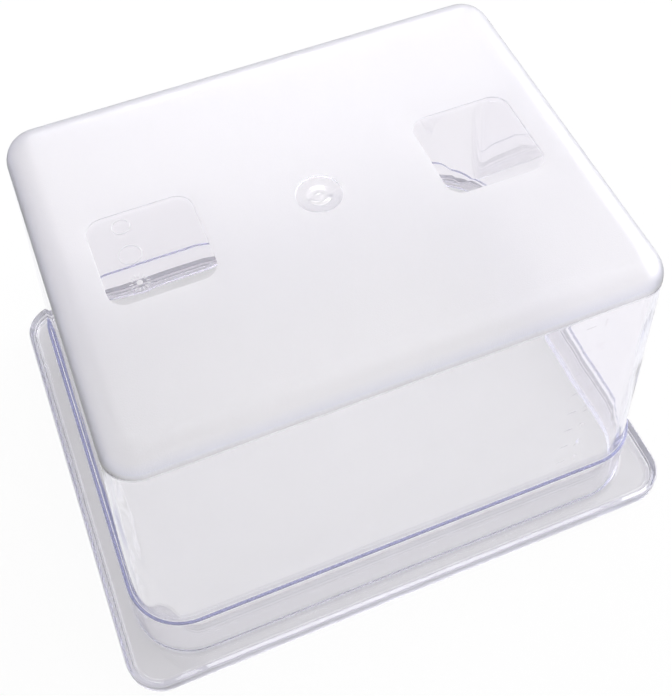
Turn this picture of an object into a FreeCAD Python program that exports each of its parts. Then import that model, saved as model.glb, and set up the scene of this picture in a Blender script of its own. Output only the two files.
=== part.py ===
import FreeCAD
import Part
import Sketcher
import math
import os

# Deli food pan: one clear moulding that stands upside down on its rim, with +Z out of its base.
# The origin is the centre of the rim's face, and +X runs along the long side.  Millimetres, degrees.

SIZES = [
    ("pan_length", 325.0, "outside length over the rim"),
    ("pan_width", 265.0, "outside width over the rim"),
    ("pan_height", 200.0, "rim face to base"),
    ("rim_width", 12.5, "rim, from its outer edge in to the collar"),
    ("rim_thickness", 3.0, "flat of the rim"),
    ("rim_corner_radius", 20.0, "outer corners of the rim"),
    ("rim_edge_chamfer", 0.8, "between the rim's face and its outer edge"),
    ("skirt_height", 9.0, "turned edge of the rim, from the rim's face"),
    ("skirt_thickness", 3.4, "turned edge"),
    ("skirt_edge_radius", 0.9, "round outside and chamfer inside the free edge of the skirt"),
    ("skirt_foot_radius", 2.6, "hollow round between the skirt and the flat of the rim"),
    ("collar_height", 44.0, "stacking collar, from the rim's face to its shoulder"),
    ("collar_corner_radius", 33.0, "upright corners of the collar, at the rim's face"),
    ("collar_draft", 2.5, "lean of the collar"),
    ("collar_foot_radius", 1.6, "hollow round between the collar and the flat of the rim"),
    ("mouth_radius", 2.4, "round between the rim's face and the inside"),
    ("shoulder_width", 2.1, "step from the collar in to the wall"),
    ("shoulder_radius", 0.8, "round and chamfers of the step"),
    ("wall_corner_radius", 28.4, "upright corners of the walls, at the step"),
    ("wall_draft", 4.6, "lean of the four walls"),
    ("wall_thickness", 2.8, "walls and collar"),
    ("base_thickness", 2.8, "base"),
    ("base_edge_radius", 15.0, "round between the walls and the base"),
    ("window_side", 52.5, "polished square panels on the base"),
    ("window_corner_radius", 9.0, "corners of the panels"),
    ("window_spacing", 166.6, "between the centres of the two panels"),
    ("window_depth", 0.4, "panels, below the frosted base"),
    ("gate_radius", 11.5, "polished disc round the moulding gate"),
    ("gate_depth", 0.4, "disc, below the frosted base"),
    ("dimple_radius", 6.2, "mouth of the dimple in the disc"),
    ("dimple_floor_radius", 3.6, "floor of the dimple"),
    ("dimple_depth", 1.3, "dimple, below the frosted base"),
]

doc = FreeCAD.newDocument("deli_food_pan")
sheet = doc.addObject("Spreadsheet::Sheet", "sheet")
for row, (alias, value, note) in enumerate(SIZES, start=1):
    sheet.set(f"A{row}", alias)
    sheet.set(f"B{row}", str(value))
    sheet.set(f"C{row}", note)
    sheet.setAlias(f"B{row}", alias)
doc.recompute()

# What follows from the driving sizes, as expressions on the sheet's cells.
COLLAR_LENGTH = "(sheet.pan_length - 2 * sheet.rim_width)"
COLLAR_WIDTH = "(sheet.pan_width - 2 * sheet.rim_width)"
COLLAR_LEAN = "sheet.collar_height * tan(sheet.collar_draft * 1 deg)"
WALL_INSET = f"({COLLAR_LEAN} + sheet.shoulder_width)"
WALL_SLOPE = "tan(sheet.wall_draft * 1 deg)"
INNER_SHOULDER = "(sheet.collar_height - sheet.wall_thickness)"
INNER_SETBACK = f"(sheet.wall_thickness * (1 - {WALL_SLOPE}))"
INNER_INSET = f"({WALL_INSET} + {INNER_SETBACK})"
WALL_RISE = "(sheet.pan_height - sheet.collar_height)"
BASE_CORNER = f"(sheet.wall_corner_radius - {WALL_RISE} * {WALL_SLOPE})"

# A round stays smaller than the step, the edge or the corner that carries it.
PAIR_SHARE = 0.45
CORNER_SHARE = 0.95
SKIRT_ROUND = f"min(sheet.skirt_edge_radius; {PAIR_SHARE} * sheet.skirt_thickness)"
SHOULDER_ROUND = f"min(sheet.shoulder_radius; {PAIR_SHARE} * sheet.shoulder_width)"
BASE_ROUND = f"min(sheet.base_edge_radius; {CORNER_SHARE} * {BASE_CORNER})"
FLOOR_ROUND = f"max({BASE_ROUND} - sheet.base_thickness; sheet.shoulder_radius)"

UP = FreeCAD.Vector(0, 0, 1)
LEVEL_TOLERANCE = 1e-5


# Helpers: sketches.

def origin_plane(body, role):
    for feature in body.Origin.OriginFeatures:
        if feature.Role == role:
            return feature
    raise ValueError(role)


def new_sketch(body, name, height=None, plane="XY_Plane"):
    """A sketch on one of the body's own planes, lifted to a height that may be an expression."""
    sketch = body.newObject("Sketcher::SketchObject", name)
    sketch.AttachmentSupport = [(origin_plane(body, plane), "")]
    sketch.MapMode = "FlatFace"
    if height:
        sketch.setExpression("AttachmentOffset.Base.z", height)
    return sketch


def point(x, y):
    return FreeCAD.Vector(x, y, 0)


def drive(sketch, label, expression, *constraint):
    """Add a dimension to the sketch and tie it to an expression."""
    index = sketch.addConstraint(Sketcher.Constraint(*constraint, evaluate(expression)))
    sketch.renameConstraint(index, label)
    sketch.setExpression(f"Constraints.{label}", expression)


def evaluate(expression):
    value = sheet.evalExpression(expression)
    return float(getattr(value, "Value", value))


def arc(centre_x, centre_y, radius, quarter):
    circle = Part.Circle(point(centre_x, centre_y), UP, radius)
    return Part.ArcOfCircle(circle, quarter * math.pi / 2, (quarter + 1) * math.pi / 2)


def rounded_rectangle(sketch, label, length, width, radius, shift="0"):
    """A rectangle with round corners, its centre on the sketch's X axis, shift from the origin."""
    half_x = evaluate(length) / 2
    half_y = evaluate(width) / 2
    corner = evaluate(radius)
    middle = evaluate(shift)
    left, right = middle - half_x, middle + half_x
    outline = [
        Part.LineSegment(point(left + corner, -half_y), point(right - corner, -half_y)),
        arc(right - corner, corner - half_y, corner, 3),
        Part.LineSegment(point(right, corner - half_y), point(right, half_y - corner)),
        arc(right - corner, half_y - corner, corner, 0),
        Part.LineSegment(point(right - corner, half_y), point(left + corner, half_y)),
        arc(left + corner, half_y - corner, corner, 1),
        Part.LineSegment(point(left, half_y - corner), point(left, corner - half_y)),
        arc(left + corner, corner - half_y, corner, 2),
    ]
    first = sketch.GeometryCount
    sketch.addGeometry(outline, False)
    sketch.addGeometry(Part.Point(point(middle, 0)), True)
    bottom, corner_arc, right_side, top, left_side = first, first + 1, first + 2, first + 4, first + 6
    centre = first + 8
    for index in range(8):
        follower = first + (index + 1) % 8
        sketch.addConstraint(Sketcher.Constraint("Tangent", first + index, 2, follower, 1))
    for line, direction in ((bottom, "Horizontal"), (right_side, "Vertical"),
                            (top, "Horizontal"), (left_side, "Vertical")):
        sketch.addConstraint(Sketcher.Constraint(direction, line))
    for index in (3, 5, 7):
        sketch.addConstraint(Sketcher.Constraint("Equal", corner_arc, first + index))
    sketch.addConstraint(Sketcher.Constraint("Symmetric", corner_arc, 3, first + 5, 3, centre, 1))
    sketch.addConstraint(Sketcher.Constraint("PointOnObject", centre, 1, -1))
    drive(sketch, label + "_length", length, "DistanceX", left_side, 1, right_side, 1)
    drive(sketch, label + "_width", width, "DistanceY", bottom, 1, top, 1)
    drive(sketch, label + "_corner", radius, "Radius", corner_arc)
    if middle == 0:
        sketch.addConstraint(Sketcher.Constraint("PointOnObject", centre, 1, -2))
    elif middle > 0:
        drive(sketch, label + "_shift", shift, "DistanceX", -1, 1, centre, 1)
    else:
        drive(sketch, label + "_shift", f"-({shift})", "DistanceX", centre, 1, -1, 1)


# Helpers: features.

def raise_pad(body, name, sketch, height, taper="0"):
    pad = body.newObject("PartDesign::Pad", name)
    pad.Profile = sketch
    pad.setExpression("Length", height)
    pad.setExpression("TaperAngle", taper)
    doc.recompute()
    return pad


def sink_pocket(body, name, sketch, depth, upwards, taper="0"):
    before = body.Shape.Volume
    pocket = body.newObject("PartDesign::Pocket", name)
    pocket.Profile = sketch
    pocket.Reversed = upwards
    pocket.setExpression("Length", depth)
    pocket.setExpression("TaperAngle", taper)
    doc.recompute()
    if not pocket.Shape.Volume < before:
        raise RuntimeError(name + " cut nothing")
    return pocket


def loops_at(shape, height):
    """The closed loops of edges that lie flat at a height, from the largest to the smallest."""
    level = [
        edge for edge in shape.Edges
        if abs(edge.BoundBox.ZMin - height) < LEVEL_TOLERANCE
        and abs(edge.BoundBox.ZMax - height) < LEVEL_TOLERANCE
    ]
    loops = Part.sortEdges(level)
    return sorted(loops, key=lambda loop: -Part.Compound(loop).BoundBox.XLength)


def edge_names(shape, loops):
    wanted = [edge for loop in loops for edge in loop]
    return [
        f"Edge{number}" for number, edge in enumerate(shape.Edges, start=1)
        if any(edge.isSame(other) for other in wanted)
    ]


def ease_loops(body, kind, name, height, picks, size):
    """Fillet or chamfer the loops at a height, picked by their place from the largest."""
    base = body.Tip
    loops = loops_at(base.Shape, evaluate(height))
    easing = body.newObject("PartDesign::" + kind, name)
    easing.Base = (base, edge_names(base.Shape, [loops[pick] for pick in picks]))
    easing.setExpression({"Fillet": "Radius", "Chamfer": "Size"}[kind], size)
    doc.recompute()


def round_loops(body, name, height, picks, radius):
    ease_loops(body, "Fillet", name, height, picks, radius)


# The pan's outside: collar, walls and rim.

def make_outside(body):
    collar = new_sketch(body, "collar_outline")
    rounded_rectangle(collar, "collar", COLLAR_LENGTH, COLLAR_WIDTH, "sheet.collar_corner_radius")
    raise_pad(body, "collar", collar, "sheet.collar_height", "-sheet.collar_draft")

    wall = new_sketch(body, "wall_outline", "sheet.collar_height")
    rounded_rectangle(wall, "wall", f"{COLLAR_LENGTH} - 2 * {WALL_INSET}",
                      f"{COLLAR_WIDTH} - 2 * {WALL_INSET}", "sheet.wall_corner_radius")
    raise_pad(body, "walls", wall, WALL_RISE, "-sheet.wall_draft")

    rim = new_sketch(body, "rim_outline")
    rounded_rectangle(rim, "rim", "sheet.pan_length", "sheet.pan_width", "sheet.rim_corner_radius")
    raise_pad(body, "rim", rim, "sheet.rim_thickness")

    skirt = new_sketch(body, "skirt_outline")
    rounded_rectangle(skirt, "outer", "sheet.pan_length", "sheet.pan_width",
                      "sheet.rim_corner_radius")
    rounded_rectangle(skirt, "inner", "sheet.pan_length - 2 * sheet.skirt_thickness",
                      "sheet.pan_width - 2 * sheet.skirt_thickness",
                      "sheet.rim_corner_radius - sheet.skirt_thickness")
    raise_pad(body, "skirt", skirt, "sheet.skirt_height")


def round_outside(body):
    round_loops(body, "base_edge_round", "sheet.pan_height", [0], BASE_ROUND)
    ease_loops(body, "Chamfer", "shoulder_foot", "sheet.collar_height", [1], SHOULDER_ROUND)
    round_loops(body, "shoulder_round", "sheet.collar_height", [0], SHOULDER_ROUND)
    round_loops(body, "skirt_foot_round", "sheet.rim_thickness", [0], "sheet.skirt_foot_radius")
    round_loops(body, "collar_foot_round", "sheet.rim_thickness", [1], "sheet.collar_foot_radius")
    ease_loops(body, "Chamfer", "skirt_inner_edge", "sheet.skirt_height", [1], SKIRT_ROUND)
    round_loops(body, "skirt_edge_round", "sheet.skirt_height", [0], SKIRT_ROUND)
    ease_loops(body, "Chamfer", "rim_edge", "0", [0], "sheet.rim_edge_chamfer")


# The inside follows the outside at a constant wall, stepped shoulder included.

def hollow_inside(body):
    mouth = new_sketch(body, "mouth_outline")
    rounded_rectangle(mouth, "mouth", f"{COLLAR_LENGTH} - 2 * sheet.wall_thickness",
                      f"{COLLAR_WIDTH} - 2 * sheet.wall_thickness",
                      "sheet.collar_corner_radius - sheet.wall_thickness")
    sink_pocket(body, "inside_of_collar", mouth, INNER_SHOULDER, True, "-sheet.collar_draft")

    inside = new_sketch(body, "inside_outline", INNER_SHOULDER)
    rounded_rectangle(inside, "inside", f"{COLLAR_LENGTH} - 2 * {INNER_INSET}",
                      f"{COLLAR_WIDTH} - 2 * {INNER_INSET}",
                      f"sheet.wall_corner_radius - {INNER_SETBACK}")
    depth = f"sheet.pan_height - sheet.base_thickness - {INNER_SHOULDER}"
    sink_pocket(body, "inside_of_walls", inside, depth, True, "-sheet.wall_draft")


def round_inside(body):
    round_loops(body, "floor_round", "sheet.pan_height - sheet.base_thickness", [0], FLOOR_ROUND)
    ease_loops(body, "Chamfer", "inner_shoulder", INNER_SHOULDER, [0, 1], SHOULDER_ROUND)
    mouth_loop = 1
    round_loops(body, "mouth_round", "0", [mouth_loop], "sheet.mouth_radius")


# The polished recesses in the frosted base: two square panels, and the gate's disc and dimple.

def mark_base(body):
    windows = new_sketch(body, "window_outlines", "sheet.pan_height")
    for label, shift in (("left", "-sheet.window_spacing / 2"), ("right", "sheet.window_spacing / 2")):
        rounded_rectangle(windows, label, "sheet.window_side", "sheet.window_side",
                          "sheet.window_corner_radius", shift)
    sink_pocket(body, "windows", windows, "sheet.window_depth", False)

    gate = new_sketch(body, "gate_outline", "sheet.pan_height")
    gate.addGeometry(Part.Circle(point(0, 0), UP, evaluate("sheet.gate_radius")))
    gate.addConstraint(Sketcher.Constraint("Coincident", 0, 3, -1, 1))
    drive(gate, "gate_radius", "sheet.gate_radius", "Radius", 0)
    sink_pocket(body, "gate_disc", gate, "sheet.gate_depth", False)

    cut_dimple(body)


def cut_dimple(body):
    """A cone-sided dimple, turned about the pan's axis."""
    profile = new_sketch(body, "dimple_profile", plane="XZ_Plane")
    top = evaluate("sheet.pan_height - sheet.gate_depth")
    floor = evaluate("sheet.pan_height - sheet.dimple_depth")
    mouth_radius = evaluate("sheet.dimple_radius")
    floor_radius = evaluate("sheet.dimple_floor_radius")
    corners = [point(0, top), point(mouth_radius, top), point(floor_radius, floor), point(0, floor)]
    for index, corner in enumerate(corners):
        profile.addGeometry(Part.LineSegment(corner, corners[(index + 1) % 4]), False)
    for index in range(4):
        profile.addConstraint(Sketcher.Constraint("Coincident", index, 2, (index + 1) % 4, 1))
    profile.addConstraint(Sketcher.Constraint("Horizontal", 0))
    profile.addConstraint(Sketcher.Constraint("Horizontal", 2))
    profile.addConstraint(Sketcher.Constraint("Vertical", 3))
    profile.addConstraint(Sketcher.Constraint("PointOnObject", 0, 1, -2))
    drive(profile, "mouth", "sheet.dimple_radius", "DistanceX", 0, 1, 0, 2)
    drive(profile, "floor", "sheet.dimple_floor_radius", "DistanceX", 2, 2, 2, 1)
    drive(profile, "top", "sheet.pan_height - sheet.gate_depth", "DistanceY", -1, 1, 0, 1)
    drive(profile, "bottom", "sheet.pan_height - sheet.dimple_depth", "DistanceY", -1, 1, 2, 2)
    before = body.Shape.Volume
    dimple = body.newObject("PartDesign::Groove", "gate_dimple")
    dimple.Profile = profile
    dimple.ReferenceAxis = (profile, ["V_Axis"])
    dimple.Angle = 360.0
    doc.recompute()
    if not dimple.Shape.Volume < before:
        raise RuntimeError("the dimple cut nothing")


def make_food_pan():
    body = doc.addObject("PartDesign::Body", "food_pan")
    body.Label = "food_pan"
    body.Placement = FreeCAD.Placement()
    make_outside(body)
    hollow_inside(body)
    round_inside(body)
    round_outside(body)
    mark_base(body)
    return body


parts = [make_food_pan()]
doc.recompute()

for item in doc.Objects:
    if "Invalid" in item.State or "Error" in item.State:
        raise RuntimeError(f"{item.Name} failed: {item.State}")
os.makedirs("parts", exist_ok=True)
for part in parts:
    shape = part.Shape
    if shape.isNull() or not shape.isValid() or len(shape.Solids) != 1:
        raise RuntimeError(part.Label + " has no single valid solid")
    box = shape.BoundBox
    print(part.Label, "volume", round(shape.Volume), "mm3, box",
          round(box.XLength, 3), round(box.YLength, 3), round(box.ZLength, 3))
for part in parts:
    part.Shape.exportStep(f"parts/{part.Label}.step")
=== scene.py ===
import math

import bpy
from mathutils import Matrix, Vector, noise
from mathutils.geometry import delaunay_2d_cdt


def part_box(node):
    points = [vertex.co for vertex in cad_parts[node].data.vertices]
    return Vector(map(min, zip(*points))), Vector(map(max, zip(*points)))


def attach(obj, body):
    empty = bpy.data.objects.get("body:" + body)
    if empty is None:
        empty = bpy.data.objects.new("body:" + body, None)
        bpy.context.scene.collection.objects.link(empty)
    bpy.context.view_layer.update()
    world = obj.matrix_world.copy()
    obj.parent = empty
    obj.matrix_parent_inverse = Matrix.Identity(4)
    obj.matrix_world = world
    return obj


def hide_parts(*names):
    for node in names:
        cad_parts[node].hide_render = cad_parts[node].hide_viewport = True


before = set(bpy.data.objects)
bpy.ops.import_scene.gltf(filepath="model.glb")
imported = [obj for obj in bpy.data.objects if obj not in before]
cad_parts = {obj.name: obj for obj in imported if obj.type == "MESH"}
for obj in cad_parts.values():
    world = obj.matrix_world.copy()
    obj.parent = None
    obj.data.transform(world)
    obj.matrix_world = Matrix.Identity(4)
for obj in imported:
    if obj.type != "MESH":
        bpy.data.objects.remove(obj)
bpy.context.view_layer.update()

MM = 0.001

# Sizes of the pan, in millimetres, in the CAD frame: the pan stands upside down on its rim.
pan_low, pan_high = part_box("food_pan")
LENGTH = (pan_high[0] - pan_low[0]) / MM
WIDTH = (pan_high[1] - pan_low[1]) / MM
HEIGHT = (pan_high[2] - pan_low[2]) / MM
RIM_WIDTH = 12.5
RIM_THICKNESS = 3.0
RIM_CORNER = 20.0
RIM_EDGE_ROUND = 0.8
SKIRT_HEIGHT = 9.0
SKIRT_THICKNESS = 3.4
SKIRT_EDGE_ROUND = 0.9
SKIRT_FOOT_ROUND = 3.6
# The skirt's top is level at its outer edge, and from an inset on it falls towards the collar.
BEVEL_START = 0.9
BEVEL_DROP = 0.9
BEVEL_ROUND = 1.5
BEVEL_FOOT_ROUND = 0.5
COLLAR_HEIGHT = 44.0
COLLAR_CORNER = 33.0
COLLAR_DRAFT = math.radians(2.5)
COLLAR_FOOT_ROUND = 3.0
MOUTH_ROUND = 0.8
SHOULDER_WIDTH = 2.1
SHOULDER_ROUND = 0.8
WALL_CORNER = 28.4
WALL_DRAFT = math.radians(4.6)
WALL = 2.8
BASE = 2.8
BASE_ROUND = 15.0

WINDOW_SIDE = 52.5
WINDOW_CORNER = 9.0
WINDOW_SPACING = 166.6
WINDOW_DEPTH = 0.4
WINDOW_SLOPE = 0.45
# From a window's edge to its floor: (share of the slope's width, share of the depth).
WINDOW_LEVELS = [(0.0, 0.0), (0.12, 0.03), (0.5, 0.5), (0.88, 0.97), (1.0, 1.0)]
GATE_RADIUS = 11.5
GATE_DEPTH = 0.4
DIMPLE_RADIUS = 6.2
DIMPLE_FLOOR_RADIUS = 3.6
DIMPLE_DEPTH = 1.3
# The gate's disc and dimple from the edge inwards, with a small rise in the middle: (radius, depth).
GATE_PROFILE = [
    (GATE_RADIUS, 0.0), (GATE_RADIUS - 0.1, 0.1), (GATE_RADIUS - 0.35, 0.36),
    (GATE_RADIUS - 0.5, GATE_DEPTH), (GATE_RADIUS - 1.5, GATE_DEPTH),
    (DIMPLE_RADIUS + 1.2, GATE_DEPTH), (DIMPLE_RADIUS + 0.4, GATE_DEPTH),
    (DIMPLE_RADIUS, 0.45), (DIMPLE_RADIUS - 0.4, 0.62), (DIMPLE_FLOOR_RADIUS + 0.5, 1.15),
    (DIMPLE_FLOOR_RADIUS, DIMPLE_DEPTH), (DIMPLE_FLOOR_RADIUS - 0.6, DIMPLE_DEPTH),
    (2.0, DIMPLE_DEPTH), (1.6, DIMPLE_DEPTH - 0.15), (1.2, DIMPLE_DEPTH - 0.4),
    (0.6, DIMPLE_DEPTH - 0.5),
]

# Raised marks on the floor of the first window: its place along the pan is that window's middle.
MARK_RISE = 0.18
MARK_SLOPE = 0.12
RING_MARKS = [(-9.3, 18.0, 4.3), (-9.8, 0.6, 5.4)]
RING_LINE = 0.7
DIAL_X, DIAL_Y, DIAL_RADIUS = -10.1, -16.3, 5.1
DIAL_TICKS = 14
DIAL_TICK_LENGTH, DIAL_TICK_WIDTH = 2.2, 0.62
DIAL_HUB_RADIUS = 1.5

# The fill scale near one end of the long wall: a dash and a plain number at each whole litre.
SCALE_X = 91.0
SCALE_NUMBER_X = 99.0
SCALE_DASH_LENGTH, SCALE_DASH_WIDTH = 5.0, 0.6
SCALE_NUMBER_SIZE = 8.0
SCALE_NUMBER_FINENESS = 3
SCALE_RISE = 0.08
SCALE_SUNK = 0.02
SCALE_LITRES = 8
CUBIC_MM_PER_LITRE = 1e6

# Fineness of the mesh.
CORNER_STEPS = 14
LONG_SIDE_STEPS = 44
SHORT_SIDE_STEPS = 36
ARC_LEAST_STEPS = 8
ARC_STEPS_PER_MM = 0.9
WINDOW_CORNER_STEPS = 10
WINDOW_SIDE_STEPS = 6
GATE_STEPS = 48
RING_STEPS = 36
HUB_STEPS = 20
WALL_STEP = 6.0
FLOOR_STEP = 8.0
BASE_STEP = 12.0
WINDOW_STEP = 6.0
MARK_STEP = 3.0
GATE_STEP = 5.0
EDGE_MARGIN = 0.7
# A point inside a flat region keeps this share of the spacing from the region's edges.
CLEARANCE = 0.4
CAPSULE_STEPS = 5
LITRE_SLICES = 60
HALVINGS = 30
SHARP_ANGLE = math.radians(25)

# Slight waves that moulding leaves in walls longer than a tall run and in the inner floor, fading
# out near edges: long ones and short ones, each as (length, height).
WAVES = [(34.0, 0.11), (13.0, 0.03)]
WAVE_FADE = 10.0
WAVE_OFFSET = 5.3
TALL_RUN = 60.0

# How far a face is frosted, kept on the mesh for the material to read. Above frosted it goes on to
# a painted shade: a darker, deeper blue.
CLEAR, SATIN, FROSTED, PAINTED_SHADE = 0.0, 0.35, 1.0, 2.0

# The frosting on the round from the base down to the walls, as (share of the way, frosting). A darker
# blue shade is painted on it where the walls lie end-on behind it, and it ends softly.
BASE_FROSTING_AND_SHADE = [(0.0, FROSTED), (0.55, FROSTED), (0.82, 1.6), (0.93, FROSTED), (1.0, 0.4)]
FROSTING_AND_SHADE = "frosting"

# The rim's outer face is a little matt too, up to this inset.
RIM_MATT_INSET = 0.35

# The plastic's looks: clear, frosted, and frosted with a painted darker blue shade.
CLEAR_COLOUR = (1.0, 0.985, 0.988, 1.0)
FROSTED_COLOUR = (0.995, 0.98, 0.988, 1.0)
PAINTED_SHADE_COLOUR = (0.84, 0.86, 1.0, 1.0)
FROSTED_ROUGHNESS = 0.46
FROSTED_TRANSMISSION = 0.8
REFRACTION = 1.585
GRAIN_SCALE, GRAIN_DETAIL, GRAIN_HEIGHT = 1700.0, 3.0, 0.00008
BODY_COLOUR = (0.39, 0.42, 0.78, 1.0)
BODY_DENSITY = 24.0

# The table, and how much of its colour is plain white: where the camera sees it, mirrored in the
# plastic, and through the plastic.
TABLE_SIZE = 6.0
TABLE_DROP = 0.0003
TABLE_TONE = 0.92
TABLE_WHITE = 0.95
TABLE_WHITE_MIRRORED = 0.95
TABLE_WHITE_THROUGH = 0.49

# The room: its tone from the horizon (height 0) to straight up (height 1), and its soft panels,
# each with the direction it lies in, the angles of its edge and its core, and its strength.
WALL_TONES = [(0.0, 1.0), (0.3, 1.0), (0.6, 0.28), (0.76, 0.12), (0.88, 0.38), (1.0, 0.48)]
GLOWS = [
    ((0.90, 0.15, 0.50), 80, 20, 0.25),
    ((0.38, -0.08, 0.92), 34, 12, 1.0),
    ((0.95, 0.05, 0.25), 40, 12, 4.4),
]

# The one lamp: a wide soft panel behind the pan, shining down on it.
LAMP_PLACE = (0.323, 1.295, 0.88)
LAMP_SIZE = (1.1, 0.3)
LAMP_POWER = 8.0

# How often light passes from surface to surface, through the many faces of the clear shell.
BOUNCES = 32
GLOSSY_BOUNCES = 16
DIFFUSE_BOUNCES = 6

# The photograph's view: a position in millimetres, a turn as axis times angle, and the focal
# length and the middle of the view in pixels of a frame with this longer side.
CAMERA_PLACE = (-112.635, -313.3561, 593.2997)
CAMERA_TURN = (2.5043, -0.4916, 0.1167)
FRAME_SIDE = 696
FOCAL_PIXELS = 1080.753
VIEW_MIDDLE = (-12.4634, -35.8892)
SENSOR_WIDTH = 36.0
CLIP_NEAR, CLIP_FAR = 0.01, 20.0


# Places worked out from the sizes: insets from the rim's outer edge, and heights.
wall_slope = math.tan(WALL_DRAFT)
collar_slope = math.tan(COLLAR_DRAFT)
shoulder_inset = RIM_WIDTH + COLLAR_HEIGHT * collar_slope
wall_foot_inset = shoulder_inset + SHOULDER_WIDTH
wall_rise = HEIGHT - COLLAR_HEIGHT
inner_shoulder = COLLAR_HEIGHT - WALL
inner_foot_inset = wall_foot_inset + WALL * (1 - wall_slope)
floor_height = HEIGHT - BASE
floor_round = BASE_ROUND - BASE

# The families of plan corners, each as its radius at the rim's outer edge. It shrinks with the inset.
RIM_FAMILY = RIM_CORNER
COLLAR_FAMILY = COLLAR_CORNER + RIM_WIDTH
WALL_FAMILY = WALL_CORNER + wall_foot_inset

# The section through the pan's wall, as corners (inset, height), each with its round and the family
# that its plan corners belong to.
SECTION = [
    (wall_foot_inset + wall_rise * wall_slope, HEIGHT, BASE_ROUND, WALL_FAMILY),
    (wall_foot_inset, COLLAR_HEIGHT, SHOULDER_ROUND, WALL_FAMILY),
    (shoulder_inset, COLLAR_HEIGHT, SHOULDER_ROUND, COLLAR_FAMILY),
    (RIM_WIDTH + RIM_THICKNESS * collar_slope, RIM_THICKNESS, COLLAR_FOOT_ROUND, COLLAR_FAMILY),
    (SKIRT_THICKNESS, RIM_THICKNESS, SKIRT_FOOT_ROUND, RIM_FAMILY),
    (SKIRT_THICKNESS, SKIRT_HEIGHT - BEVEL_DROP, BEVEL_FOOT_ROUND, RIM_FAMILY),
    (BEVEL_START, SKIRT_HEIGHT, BEVEL_ROUND, RIM_FAMILY),
    (0.0, SKIRT_HEIGHT, SKIRT_EDGE_ROUND, RIM_FAMILY),
    (0.0, 0.0, RIM_EDGE_ROUND, RIM_FAMILY),
    (RIM_WIDTH + WALL, 0.0, MOUTH_ROUND, COLLAR_FAMILY),
    (RIM_WIDTH + WALL + inner_shoulder * collar_slope, inner_shoulder, SHOULDER_ROUND, COLLAR_FAMILY),
    (inner_foot_inset, inner_shoulder, SHOULDER_ROUND, WALL_FAMILY),
    (inner_foot_inset + wall_rise * wall_slope, floor_height, floor_round, WALL_FAMILY),
]


def round_corner(before, corner, after, radius, steps):
    """Points on the arc that rounds a corner of a polyline."""
    a, b, c = Vector(before), Vector(corner), Vector(after)
    to_a, to_c = (a - b).normalized(), (c - b).normalized()
    half_angle = to_a.angle(to_c) / 2
    reach = radius / math.tan(half_angle)
    centre = b + (to_a + to_c).normalized() * radius / math.sin(half_angle)
    start, end = b + to_a * reach - centre, b + to_c * reach - centre
    sweep = start.angle_signed(end)
    return [centre + Matrix.Rotation(-sweep * k / steps, 2) @ start for k in range(steps + 1)]


def arc_steps(radius):
    return max(ARC_LEAST_STEPS, round(radius * ARC_STEPS_PER_MM) + 2)


def section_points():
    """The whole section, outer base to inner floor: (inset, height, family, waviness) per ring."""
    first = (LENGTH / 2, HEIGHT)
    last = (LENGTH / 2, floor_height)
    corners = [first] + [entry[:2] for entry in SECTION] + [last]
    rings = []
    for index, (inset, height, radius, family) in enumerate(SECTION):
        arc = round_corner(corners[index], corners[index + 1], corners[index + 2], radius,
                           arc_steps(radius))
        if rings:
            rings += straight_points(rings[-1], (arc[0].x, arc[0].y, family))
        rings += [(p.x, p.y, family, 0.0) for p in arc]
    return rings


def straight_points(start, end):
    """Rings between two arcs: one close to each end, and more along a tall wall."""
    run = math.hypot(end[0] - start[0], end[1] - start[1])
    if run < 3 * EDGE_MARGIN:
        shares = [0.5] if run > EDGE_MARGIN else []
    else:
        inner = max(1, round((run - 2 * EDGE_MARGIN) / WALL_STEP))
        margin = EDGE_MARGIN / run
        shares = [margin + (1 - 2 * margin) * k / inner for k in range(inner + 1)]
    same_family = start[2] == end[2]
    tall = abs(end[1] - start[1]) > TALL_RUN
    points = []
    for share in shares:
        family = start[2] if same_family or share < 0.5 else end[2]
        waviness = fade(min(share, 1 - share) * run) if tall else 0.0
        points.append((start[0] + (end[0] - start[0]) * share,
                       start[1] + (end[1] - start[1]) * share, family, waviness))
    return points


def fade(distance):
    """Waviness at a distance from an edge, from 0 to 1."""
    share = min(1.0, max(0.0, distance / WAVE_FADE))
    return share * share * (3 - 2 * share)


def outline(half_x, half_y, radius, corner_steps, x_steps, y_steps):
    """A rounded rectangle as points, anticlockwise from the right side's lower end."""
    points = []
    corners = [(1, 1, 0, x_steps), (-1, 1, 1, y_steps), (-1, -1, 2, x_steps), (1, -1, 3, y_steps)]
    for sign_x, sign_y, quarter, side_steps in corners:
        centre = Vector((sign_x * (half_x - radius), sign_y * (half_y - radius)))
        for k in range(corner_steps + 1):
            angle = (quarter + k / corner_steps) * math.pi / 2
            points.append(centre + radius * Vector((math.cos(angle), math.sin(angle))))
        last = points[-1]
        along = Vector(((-1, 0), (0, -1), (1, 0), (0, 1))[quarter])
        run = 2 * ((half_x if quarter % 2 == 0 else half_y) - radius)
        points += [last + along * run * k / side_steps for k in range(1, side_steps)]
    return points


def ring(inset, family):
    """The pan's outline at an inset from the rim, with the corner round of its family."""
    return outline(LENGTH / 2 - inset, WIDTH / 2 - inset, family - inset,
                   CORNER_STEPS, LONG_SIDE_STEPS, SHORT_SIDE_STEPS)


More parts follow.
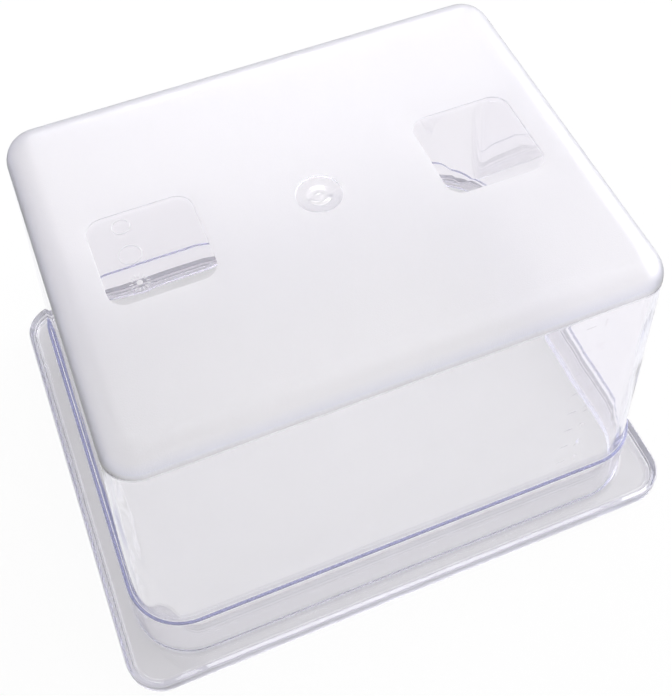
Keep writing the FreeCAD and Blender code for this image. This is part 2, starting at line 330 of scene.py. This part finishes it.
class Mesher:
    """Collects vertices in millimetres with their waviness, and faces with their frosting and painted
    shade.
    """

    def __init__(self):
        self.vertices = []
        self.waviness = []
        self.faces = []
        self.frosting = []

    def loop(self, points, height, waviness=0.0):
        start = len(self.vertices)
        self.vertices += [Vector((p[0], p[1], height)) for p in points]
        self.waviness += [waviness] * len(points)
        return list(range(start, start + len(points)))

    def strip(self, upper, lower, frosting):
        count = len(upper)
        for k in range(count):
            after = (k + 1) % count
            self.faces.append((upper[k], lower[k], lower[after], upper[after]))
            self.frosting.append(frosting)

    def cap(self, rim, holes, spacing, up, frosting):
        """Triangles over a flat region inside one loop and outside others."""
        loops = [rim] + holes
        indices = [i for one in loops for i in one]
        flat = [self.vertices[i].xy for i in indices]
        edges = []
        start = 0
        for one in loops:
            count = len(one)
            edges += [(start + k, start + (k + 1) % count) for k in range(count)]
            start += count
        polygons = [[self.vertices[i].xy for i in one] for one in loops]
        height = self.vertices[rim[0]].z
        extra = self.inner_points(polygons, spacing)
        flat += extra
        placed, _, triangles, origins, _, _ = delaunay_2d_cdt(flat, edges, [], 0, 1e-6)
        indices += self.loop(extra, height)
        names = [indices[origin[0]] for origin in origins]
        for triangle in triangles:
            centre = sum((placed[i] for i in triangle), Vector((0, 0))) / 3
            if not inside(centre, polygons[0]) or any(inside(centre, hole) for hole in polygons[1:]):
                continue
            corners = [names[i] for i in triangle]
            if not up:
                corners.reverse()
            self.faces.append(tuple(corners))
            self.frosting.append(frosting)

    def inner_points(self, polygons, spacing):
        xs = [p.x for p in polygons[0]]
        ys = [p.y for p in polygons[0]]
        found = []
        x_count = int((max(xs) - min(xs)) / spacing)
        y_count = int((max(ys) - min(ys)) / spacing)
        for i in range(1, x_count):
            for j in range(1, y_count):
                spot = Vector((min(xs) + (max(xs) - min(xs)) * i / x_count,
                               min(ys) + (max(ys) - min(ys)) * j / y_count))
                clear_of = min((spot - p).length for polygon in polygons for p in polygon)
                if clear_of < spacing * CLEARANCE or not inside(spot, polygons[0]):
                    continue
                if any(inside(spot, hole) for hole in polygons[1:]):
                    continue
                found.append(spot)
        return found

    def build(self, name, material):
        mesh = bpy.data.meshes.new(name)
        mesh.from_pydata([v * MM for v in self.vertices], [], self.faces)
        waves = [spot + normal.vector * ripple(spot, normal.vector) * share if share else spot
                 for spot, normal, share in zip(self.vertices, mesh.vertex_normals, self.waviness)]
        mesh.vertices.foreach_set("co", [value * MM for spot in waves for value in spot])
        mesh.materials.append(material)
        mesh.attributes.new(FROSTING_AND_SHADE, "FLOAT", "FACE").data.foreach_set("value", self.frosting)
        mesh.polygons.foreach_set("use_smooth", [True] * len(self.faces))
        mesh.update()
        mesh.set_sharp_from_angle(angle=SHARP_ANGLE)
        thing = bpy.data.objects.new(name, mesh)
        bpy.context.scene.collection.objects.link(thing)
        return thing


def inside(spot, polygon):
    """Whether a point lies in a polygon, by counting crossings."""
    crossed = False
    previous = polygon[-1]
    for current in polygon:
        if (current.y > spot.y) != (previous.y > spot.y):
            share = (spot.y - current.y) / (previous.y - current.y)
            if spot.x < current.x + share * (previous.x - current.x):
                crossed = not crossed
        previous = current
    return crossed


def circle(radius, steps):
    return [radius * Vector((math.cos(2 * math.pi * k / steps), math.sin(2 * math.pi * k / steps)))
            for k in range(steps)]


def moved(points, x, y=0.0):
    return [p + Vector((x, y)) for p in points]


def ripple(spot, normal):
    """How far a wavy face leaves its true place. Opposite faces have waves of their own."""
    own = normal * WAVE_OFFSET
    return sum(noise.noise(spot / length + own) * height for length, height in WAVES)


def frosting_at(turn):
    """How far the base is frosted and painted darker blue shade, part of the way round from flat to
    wall.
    """
    spans = zip(BASE_FROSTING_AND_SHADE, BASE_FROSTING_AND_SHADE[1:])
    (start, first), (end, last) = next(span for span in spans if turn <= span[1][0])
    return first + (last - first) * (turn - start) / (end - start)


def build_pan(material):
    mesher = Mesher()
    rings = section_points()
    frost_end = arc_steps(BASE_ROUND)
    loops = [mesher.loop(ring(inset, family), height, waviness)
             for inset, height, family, waviness in rings]
    for index in range(len(loops) - 1):
        turn = (index + 1) / frost_end
        # On the base's round, values past frosted are a painted darker blue shade.
        if turn <= 1:
            frosting = frosting_at(turn)
        elif max(rings[index][0], rings[index + 1][0]) < RIM_MATT_INSET:
            frosting = FROSTED
        else:
            frosting = CLEAR
        mesher.strip(loops[index], loops[index + 1], frosting)
    add_base(mesher, loops[0])
    inner_floor = len(mesher.vertices)
    mesher.cap(loops[-1], [], FLOOR_STEP, False, CLEAR)
    rim = [mesher.vertices[i].xy for i in loops[-1]]
    for index in range(inner_floor, len(mesher.vertices)):
        mesher.waviness[index] = fade(min((mesher.vertices[index].xy - p).length for p in rim))
    return mesher.build("pan_shell", material)


def add_base(mesher, rim):
    """The flat base around two windows and the gate. Only the first window has marks."""
    holes = [add_window(mesher, -WINDOW_SPACING / 2, True),
             add_window(mesher, WINDOW_SPACING / 2, False),
             add_gate(mesher)]
    mesher.cap(rim, holes, BASE_STEP, True, FROSTED)


def add_window(mesher, x, has_marks):
    """A sunk clear square with a frosted edge; gives the loop where it meets the base."""
    half = WINDOW_SIDE / 2
    loops = []
    for across, down in WINDOW_LEVELS:
        inset = WINDOW_SLOPE * across
        points = outline(half - inset, half - inset, WINDOW_CORNER - inset,
                         WINDOW_CORNER_STEPS, WINDOW_SIDE_STEPS, WINDOW_SIDE_STEPS)
        loops.append(mesher.loop(moved(points, x), HEIGHT - WINDOW_DEPTH * down))
    for upper, lower in zip(loops, loops[1:]):
        mesher.strip(lower, upper, FROSTED)
    marks = window_marks(mesher, x, HEIGHT - WINDOW_DEPTH) if has_marks else []
    mesher.cap(loops[-1], marks, WINDOW_STEP, True, CLEAR)
    return loops[0]


def window_marks(mesher, x, height):
    """Two plain rings, and a dial of ticks around a hub, raised from a window's floor."""
    holes = [add_ring_mark(mesher, x + dx, y, radius, height) for dx, y, radius in RING_MARKS]
    centre = Vector((x + DIAL_X, DIAL_Y))
    holes.append(add_boss(mesher, moved(circle(DIAL_HUB_RADIUS, HUB_STEPS), *centre), height))
    middle = DIAL_RADIUS - DIAL_TICK_LENGTH / 2
    for k in range(DIAL_TICKS):
        angle = 2 * math.pi * k / DIAL_TICKS
        tick = capsule(DIAL_TICK_LENGTH, DIAL_TICK_WIDTH, angle)
        holes.append(add_boss(mesher, moved(tick, centre.x + middle * math.cos(angle),
                                            centre.y + middle * math.sin(angle)), height))
    return holes


def add_ring_mark(mesher, x, y, radius, height):
    """A raised ring, with the window's floor inside it; gives its outer loop."""
    edge = RING_LINE / 2
    profile = [(edge, 0.0), (edge - MARK_SLOPE, MARK_RISE),
               (MARK_SLOPE - edge, MARK_RISE), (-edge, 0.0)]
    loops = [mesher.loop(moved(circle(radius + out, RING_STEPS), x, y), height + up)
             for out, up in profile]
    for outer, inner in zip(loops, loops[1:]):
        mesher.strip(inner, outer, FROSTED)
    mesher.cap(loops[-1], [], MARK_STEP, True, CLEAR)
    return loops[0]


def add_boss(mesher, points, height):
    """A small raised shape with sloping sides; gives its foot loop."""
    centre = sum(points, Vector((0, 0))) / len(points)
    foot = mesher.loop(points, height)
    drawn_in = [p + (centre - p).normalized() * MARK_SLOPE for p in points]
    top = mesher.loop(drawn_in, height + MARK_RISE)
    mesher.strip(top, foot, FROSTED)
    mesher.cap(top, [], MARK_STEP, True, FROSTED)
    return foot


def capsule(length, width, angle):
    """A bar with round ends, as points, anticlockwise."""
    radius = width / 2
    reach = length / 2 - radius
    points = []
    for end, start_angle in ((reach, -math.pi / 2), (-reach, math.pi / 2)):
        for k in range(CAPSULE_STEPS + 1):
            turn = start_angle + math.pi * k / CAPSULE_STEPS
            points.append(Vector((end + radius * math.cos(turn), radius * math.sin(turn))))
    return [Matrix.Rotation(angle, 2) @ p for p in points]


def add_gate(mesher):
    """The satin disc and dimple round the moulding gate; gives the loop where it meets the base."""
    loops = [mesher.loop(circle(radius, GATE_STEPS), HEIGHT - depth)
             for radius, depth in GATE_PROFILE]
    for upper, lower in zip(loops, loops[1:]):
        mesher.strip(lower, upper, SATIN)
    mesher.cap(loops[-1], [], GATE_STEP, True, SATIN)
    return loops[0]


def litres_below(height):
    """How much the pan holds up to a height, worked out in slices of its tapered inside."""
    depth = (floor_height - height) / LITRE_SLICES
    total = 0.0
    for k in range(LITRE_SLICES):
        z = floor_height - depth * (k + 0.5)
        inset = inner_foot_inset + (z - inner_shoulder) * wall_slope
        total += (LENGTH - 2 * inset) * (WIDTH - 2 * inset) * depth
    return total / CUBIC_MM_PER_LITRE


def scale_height(litres):
    """The height of a litre mark, found by halving."""
    low, high = COLLAR_HEIGHT, floor_height
    for _ in range(HALVINGS):
        middle = (low + high) / 2
        if litres_below(middle) > litres:
            low = middle
        else:
            high = middle
    return low


def build_scale(material):
    """Dashes and plain numbers, raised from the outer face of the long wall that faces the camera."""
    vertices, faces = [], []
    tilt = Matrix.Rotation(math.pi / 2 - WALL_DRAFT, 4, "X") @ Matrix.Rotation(math.pi, 4, "Z")
    for litre in range(1, SCALE_LITRES + 1):
        z = scale_height(litre)
        y = -(WIDTH / 2 - wall_foot_inset - (z - COLLAR_HEIGHT) * wall_slope)
        dash = capsule(SCALE_DASH_LENGTH, SCALE_DASH_WIDTH, 0.0)
        add_solid(vertices, faces, Matrix.Translation((SCALE_X, y, z)) @ tilt, dash)
        add_number(vertices, faces, Matrix.Translation((SCALE_NUMBER_X, y, z)) @ tilt, str(litre))
    mesh = bpy.data.meshes.new("fill_scale")
    mesh.from_pydata([v * MM for v in vertices], [], faces)
    mesh.materials.append(material)
    mesh.attributes.new(FROSTING_AND_SHADE, "FLOAT", "FACE").data.foreach_set("value", [CLEAR] * len(faces))
    mesh.update()
    marks = bpy.data.objects.new("fill_scale", mesh)
    bpy.context.scene.collection.objects.link(marks)
    return marks


def add_solid(vertices, faces, place, points):
    """A flat-topped solid on a given outline, from just under the wall's face to its rise."""
    start, count = len(vertices), len(points)
    for level in (-SCALE_SUNK, SCALE_RISE):
        vertices += [place @ Vector((p.x, p.y, level)) for p in points]
    faces.append(tuple(range(start + count - 1, start - 1, -1)))
    faces.append(tuple(range(start + count, start + 2 * count)))
    for k in range(count):
        after = (k + 1) % count
        faces.append((start + k, start + after, start + count + after, start + count + k))


def add_number(vertices, faces, place, digits):
    """A plain number beside its dash, from Blender's own letter shapes."""
    curve = bpy.data.curves.new("number", "FONT")
    curve.body = digits
    curve.size = SCALE_NUMBER_SIZE
    curve.align_x, curve.align_y = "CENTER", "CENTER"
    curve.extrude = (SCALE_RISE + SCALE_SUNK) / 2
    curve.resolution_u = SCALE_NUMBER_FINENESS
    holder = bpy.data.objects.new("number", curve)
    letters = bpy.data.meshes.new_from_object(holder)
    middle = Vector((0, 0, (SCALE_RISE - SCALE_SUNK) / 2))
    start = len(vertices)
    vertices += [place @ (v.co + middle) for v in letters.vertices]
    faces += [tuple(start + i for i in face.vertices) for face in letters.polygons]
    bpy.data.objects.remove(holder)
    bpy.data.meshes.remove(letters)
    bpy.data.curves.remove(curve)


# Materials.

def principled(name):
    """A new material, with its node tree and its shader."""
    material = bpy.data.materials.new(name)
    material.use_nodes = True
    tree = material.node_tree
    return material, tree, tree.nodes["Principled BSDF"]


def mixed(tree, share, first, second):
    """A number or colour that goes from a first value to a second one; gives its socket."""
    mix = tree.nodes.new("ShaderNodeMix")
    if isinstance(first, tuple):
        mix.data_type = "RGBA"
        start, end, result = mix.inputs[6], mix.inputs[7], mix.outputs[2]
    else:
        mix.data_type = "FLOAT"
        start, end, result = mix.inputs[2], mix.inputs[3], mix.outputs[0]
    start.default_value = first
    if isinstance(second, (float, tuple)):
        end.default_value = second
    else:
        tree.links.new(second, end)
    tree.links.new(share, mix.inputs[0])
    return result


def frosting_grain(tree, share):
    """A fine sandy grain, as deep as the frosting is strong."""
    place = tree.nodes.new("ShaderNodeTexCoord").outputs["Object"]
    grain = tree.nodes.new("ShaderNodeTexNoise")
    grain.inputs["Scale"].default_value = GRAIN_SCALE
    grain.inputs["Detail"].default_value = GRAIN_DETAIL
    tree.links.new(place, grain.inputs["Vector"])
    bump = tree.nodes.new("ShaderNodeBump")
    bump.inputs["Distance"].default_value = GRAIN_HEIGHT
    tree.links.new(grain.outputs["Fac"], bump.inputs["Height"])
    tree.links.new(share, bump.inputs["Strength"])
    return bump.outputs["Normal"]


def make_polycarbonate():
    """Clear polycarbonate with a faint violet depth; frosted, and painted a darker blue shade, where
    the faces say so.
    """
    material, tree, shader = principled("clear_polycarbonate")
    shader.inputs["IOR"].default_value = REFRACTION
    frosting = tree.nodes.new("ShaderNodeAttribute")
    frosting.attribute_name = FROSTING_AND_SHADE
    share = frosting.outputs["Fac"]
    # Past frosted, the colour goes on to a painted darker blue shade.
    painted_shade_share = tree.nodes.new("ShaderNodeMapRange")
    painted_shade_share.inputs["From Min"].default_value = FROSTED
    painted_shade_share.inputs["From Max"].default_value = PAINTED_SHADE
    tree.links.new(share, painted_shade_share.inputs["Value"])
    frosted_with_shade = mixed(tree, painted_shade_share.outputs["Result"], FROSTED_COLOUR, PAINTED_SHADE_COLOUR)
    looks = {
        "Base Color": mixed(tree, share, CLEAR_COLOUR, frosted_with_shade),
        "Roughness": mixed(tree, share, 0.0, FROSTED_ROUGHNESS),
        "Transmission Weight": mixed(tree, share, 1.0, FROSTED_TRANSMISSION),
        "Normal": frosting_grain(tree, share),
    }
    for name, look in looks.items():
        tree.links.new(look, shader.inputs[name])
    absorb = tree.nodes.new("ShaderNodeVolumeAbsorption")
    absorb.inputs["Color"].default_value = BODY_COLOUR
    absorb.inputs["Density"].default_value = BODY_DENSITY
    tree.links.new(absorb.outputs[0], tree.nodes["Material Output"].inputs["Volume"])
    return material


def make_floor():
    """A white table: part of what the camera sees of it, also through the pan, is plain white."""
    material = bpy.data.materials.new("white_table")
    material.use_nodes = True
    tree = material.node_tree
    tree.nodes.remove(tree.nodes["Principled BSDF"])
    matt = tree.nodes.new("ShaderNodeBsdfDiffuse")
    matt.inputs["Color"].default_value = (TABLE_TONE, TABLE_TONE, TABLE_TONE, 1)
    white = tree.nodes.new("ShaderNodeEmission")
    white.inputs["Color"].default_value = (1, 1, 1, 1)
    path = tree.nodes.new("ShaderNodeLightPath")

    def math_node(operation, first, second):
        node = tree.nodes.new("ShaderNodeMath")
        node.operation = operation
        for socket, value in zip(node.inputs, (first, second)):
            if isinstance(value, float):
                socket.default_value = value
            else:
                tree.links.new(value, socket)
        return node.outputs[0]

    # A ray that went through the plastic counts as glossy too, so its share is taken down again.
    less = TABLE_WHITE_MIRRORED - TABLE_WHITE_THROUGH
    seen = math_node("MULTIPLY", path.outputs["Is Camera Ray"], TABLE_WHITE)
    mirrored = math_node("MULTIPLY", path.outputs["Is Glossy Ray"], TABLE_WHITE_MIRRORED)
    through = math_node("MULTIPLY", path.outputs["Is Transmission Ray"], less)
    share = math_node("MAXIMUM", seen, math_node("SUBTRACT", mirrored, through))
    mix = tree.nodes.new("ShaderNodeMixShader")
    tree.links.new(share, mix.inputs["Fac"])
    tree.links.new(matt.outputs[0], mix.inputs[1])
    tree.links.new(white.outputs[0], mix.inputs[2])
    tree.links.new(mix.outputs[0], tree.nodes["Material Output"].inputs["Surface"])
    return material


# Stage, light and camera.

def build_stage():
    half = TABLE_SIZE / 2
    corners = [(-half, -half), (half, -half), (half, half), (-half, half)]
    mesh = bpy.data.meshes.new("table")
    mesh.from_pydata([(x, y, -TABLE_DROP) for x, y in corners], [], [(0, 1, 2, 3)])
    mesh.materials.append(make_floor())
    floor = bpy.data.objects.new("table", mesh)
    bpy.context.scene.collection.objects.link(floor)


def build_world():
    world = bpy.data.worlds.new("studio")
    bpy.context.scene.world = world
    world.use_nodes = True
    tree = world.node_tree
    background = tree.nodes["Background"]
    direction = tree.nodes.new("ShaderNodeTexCoord").outputs["Generated"]
    split = tree.nodes.new("ShaderNodeSeparateXYZ")
    tree.links.new(direction, split.inputs[0])
    ramp = tree.nodes.new("ShaderNodeValToRGB")
    tree.links.new(split.outputs["Z"], ramp.inputs[0])
    stops = ramp.color_ramp.elements
    while len(stops) < len(WALL_TONES):
        stops.new(0.5)
    for stop, (position, tone) in zip(stops, WALL_TONES):
        stop.position = position
        stop.color = (tone, tone, tone, 1)
    total = ramp.outputs[0]
    for glow in GLOWS:
        total = add_glow(tree, direction, total, *glow)
    # The camera itself sees the room as plain white, from every side.
    seen = tree.nodes.new("ShaderNodeVectorMath")
    seen.operation = "MAXIMUM"
    tree.links.new(total, seen.inputs[0])
    tree.links.new(tree.nodes.new("ShaderNodeLightPath").outputs["Is Camera Ray"], seen.inputs[1])
    tree.links.new(seen.outputs["Vector"], background.inputs["Color"])


def add_glow(tree, direction, total, toward, edge_angle, core_angle, strength):
    """Adds a soft pale panel to the room, bright inside its core angle and gone beyond its edge."""
    nearness = tree.nodes.new("ShaderNodeVectorMath")
    nearness.operation = "DOT_PRODUCT"
    nearness.inputs[1].default_value = Vector(toward).normalized()
    tree.links.new(direction, nearness.inputs[0])
    glow = tree.nodes.new("ShaderNodeMapRange")
    glow.interpolation_type = "SMOOTHSTEP"
    glow.inputs["From Min"].default_value = math.cos(math.radians(edge_angle))
    glow.inputs["From Max"].default_value = math.cos(math.radians(core_angle))
    glow.inputs["To Max"].default_value = strength
    tree.links.new(nearness.outputs["Value"], glow.inputs["Value"])
    added = tree.nodes.new("ShaderNodeVectorMath")
    added.operation = "ADD"
    tree.links.new(total, added.inputs[0])
    tree.links.new(glow.outputs["Result"], added.inputs[1])
    return added.outputs["Vector"]


def add_lamp():
    light = bpy.data.lights.new("softbox", "AREA")
    light.shape = "RECTANGLE"
    light.size, light.size_y = LAMP_SIZE
    light.energy = LAMP_POWER
    lamp = bpy.data.objects.new("softbox", light)
    lamp.location = LAMP_PLACE
    lamp.rotation_euler = (-Vector(LAMP_PLACE)).to_track_quat("-Z", "Y").to_euler()
    bpy.context.scene.collection.objects.link(lamp)


def build_camera():
    position = Vector(CAMERA_PLACE) * MM
    turn = Vector(CAMERA_TURN)
    to_camera = Matrix.Rotation(turn.length, 3, turn.normalized())
    data = bpy.data.cameras.new("camera")
    data.sensor_width = SENSOR_WIDTH
    data.lens = FOCAL_PIXELS / FRAME_SIDE * SENSOR_WIDTH
    data.shift_x = -VIEW_MIDDLE[0] / FRAME_SIDE
    data.shift_y = VIEW_MIDDLE[1] / FRAME_SIDE
    data.clip_start, data.clip_end = CLIP_NEAR, CLIP_FAR
    camera = bpy.data.objects.new("camera", data)
    axes = Matrix((to_camera[0], -to_camera[1], -to_camera[2])).transposed()
    camera.matrix_world = Matrix.Translation(position) @ axes.to_4x4()
    bpy.context.scene.collection.objects.link(camera)
    bpy.context.scene.camera = camera


plastic = make_polycarbonate()
pan = build_pan(plastic)
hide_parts("food_pan")
for piece in (pan, build_scale(plastic)):
    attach(piece, "root")

build_stage()
build_world()
add_lamp()
build_camera()

scene = bpy.context.scene
scene.view_settings.view_transform = "Standard"
scene.cycles.max_bounces = BOUNCES
scene.cycles.transmission_bounces = BOUNCES
scene.cycles.glossy_bounces = GLOSSY_BOUNCES
scene.cycles.diffuse_bounces = DIFFUSE_BOUNCES
